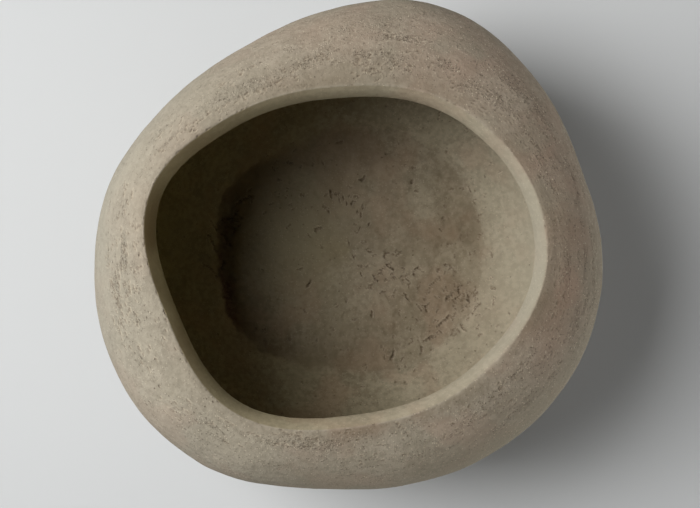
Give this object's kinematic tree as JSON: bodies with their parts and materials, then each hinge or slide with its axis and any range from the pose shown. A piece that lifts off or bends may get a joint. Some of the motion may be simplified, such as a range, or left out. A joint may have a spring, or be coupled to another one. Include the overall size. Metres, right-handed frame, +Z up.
{
  "type": "planter",
  "caption": "Low pebble-shaped floor planter of thick coarse fired clay, with a wide free-form mouth, an undercut hollow and a flat base on rubber pads.",
  "frame": {"origin": "middle of the bounding box, on the ground under the pads", "axes": "+Z up out of the mouth; +X along the longest extent, to the right as seen from above; +Y away from the front"},
  "size_m": [0.702, 0.68, 0.3394],
  "materials": {
    "clay": "unglazed coarse fired clay, pitted, matt",
    "rubber": "matt moulded rubber"
  },
  "bodies": {
    "root": {"body": "clay", "foot_pad_1": "rubber", "foot_pad_2": "rubber", "foot_pad_3": "rubber", "foot_pad_4": "rubber", "foot_pad_5": "rubber", "foot_pad_6": "rubber"}
  },
  "joints": []
}
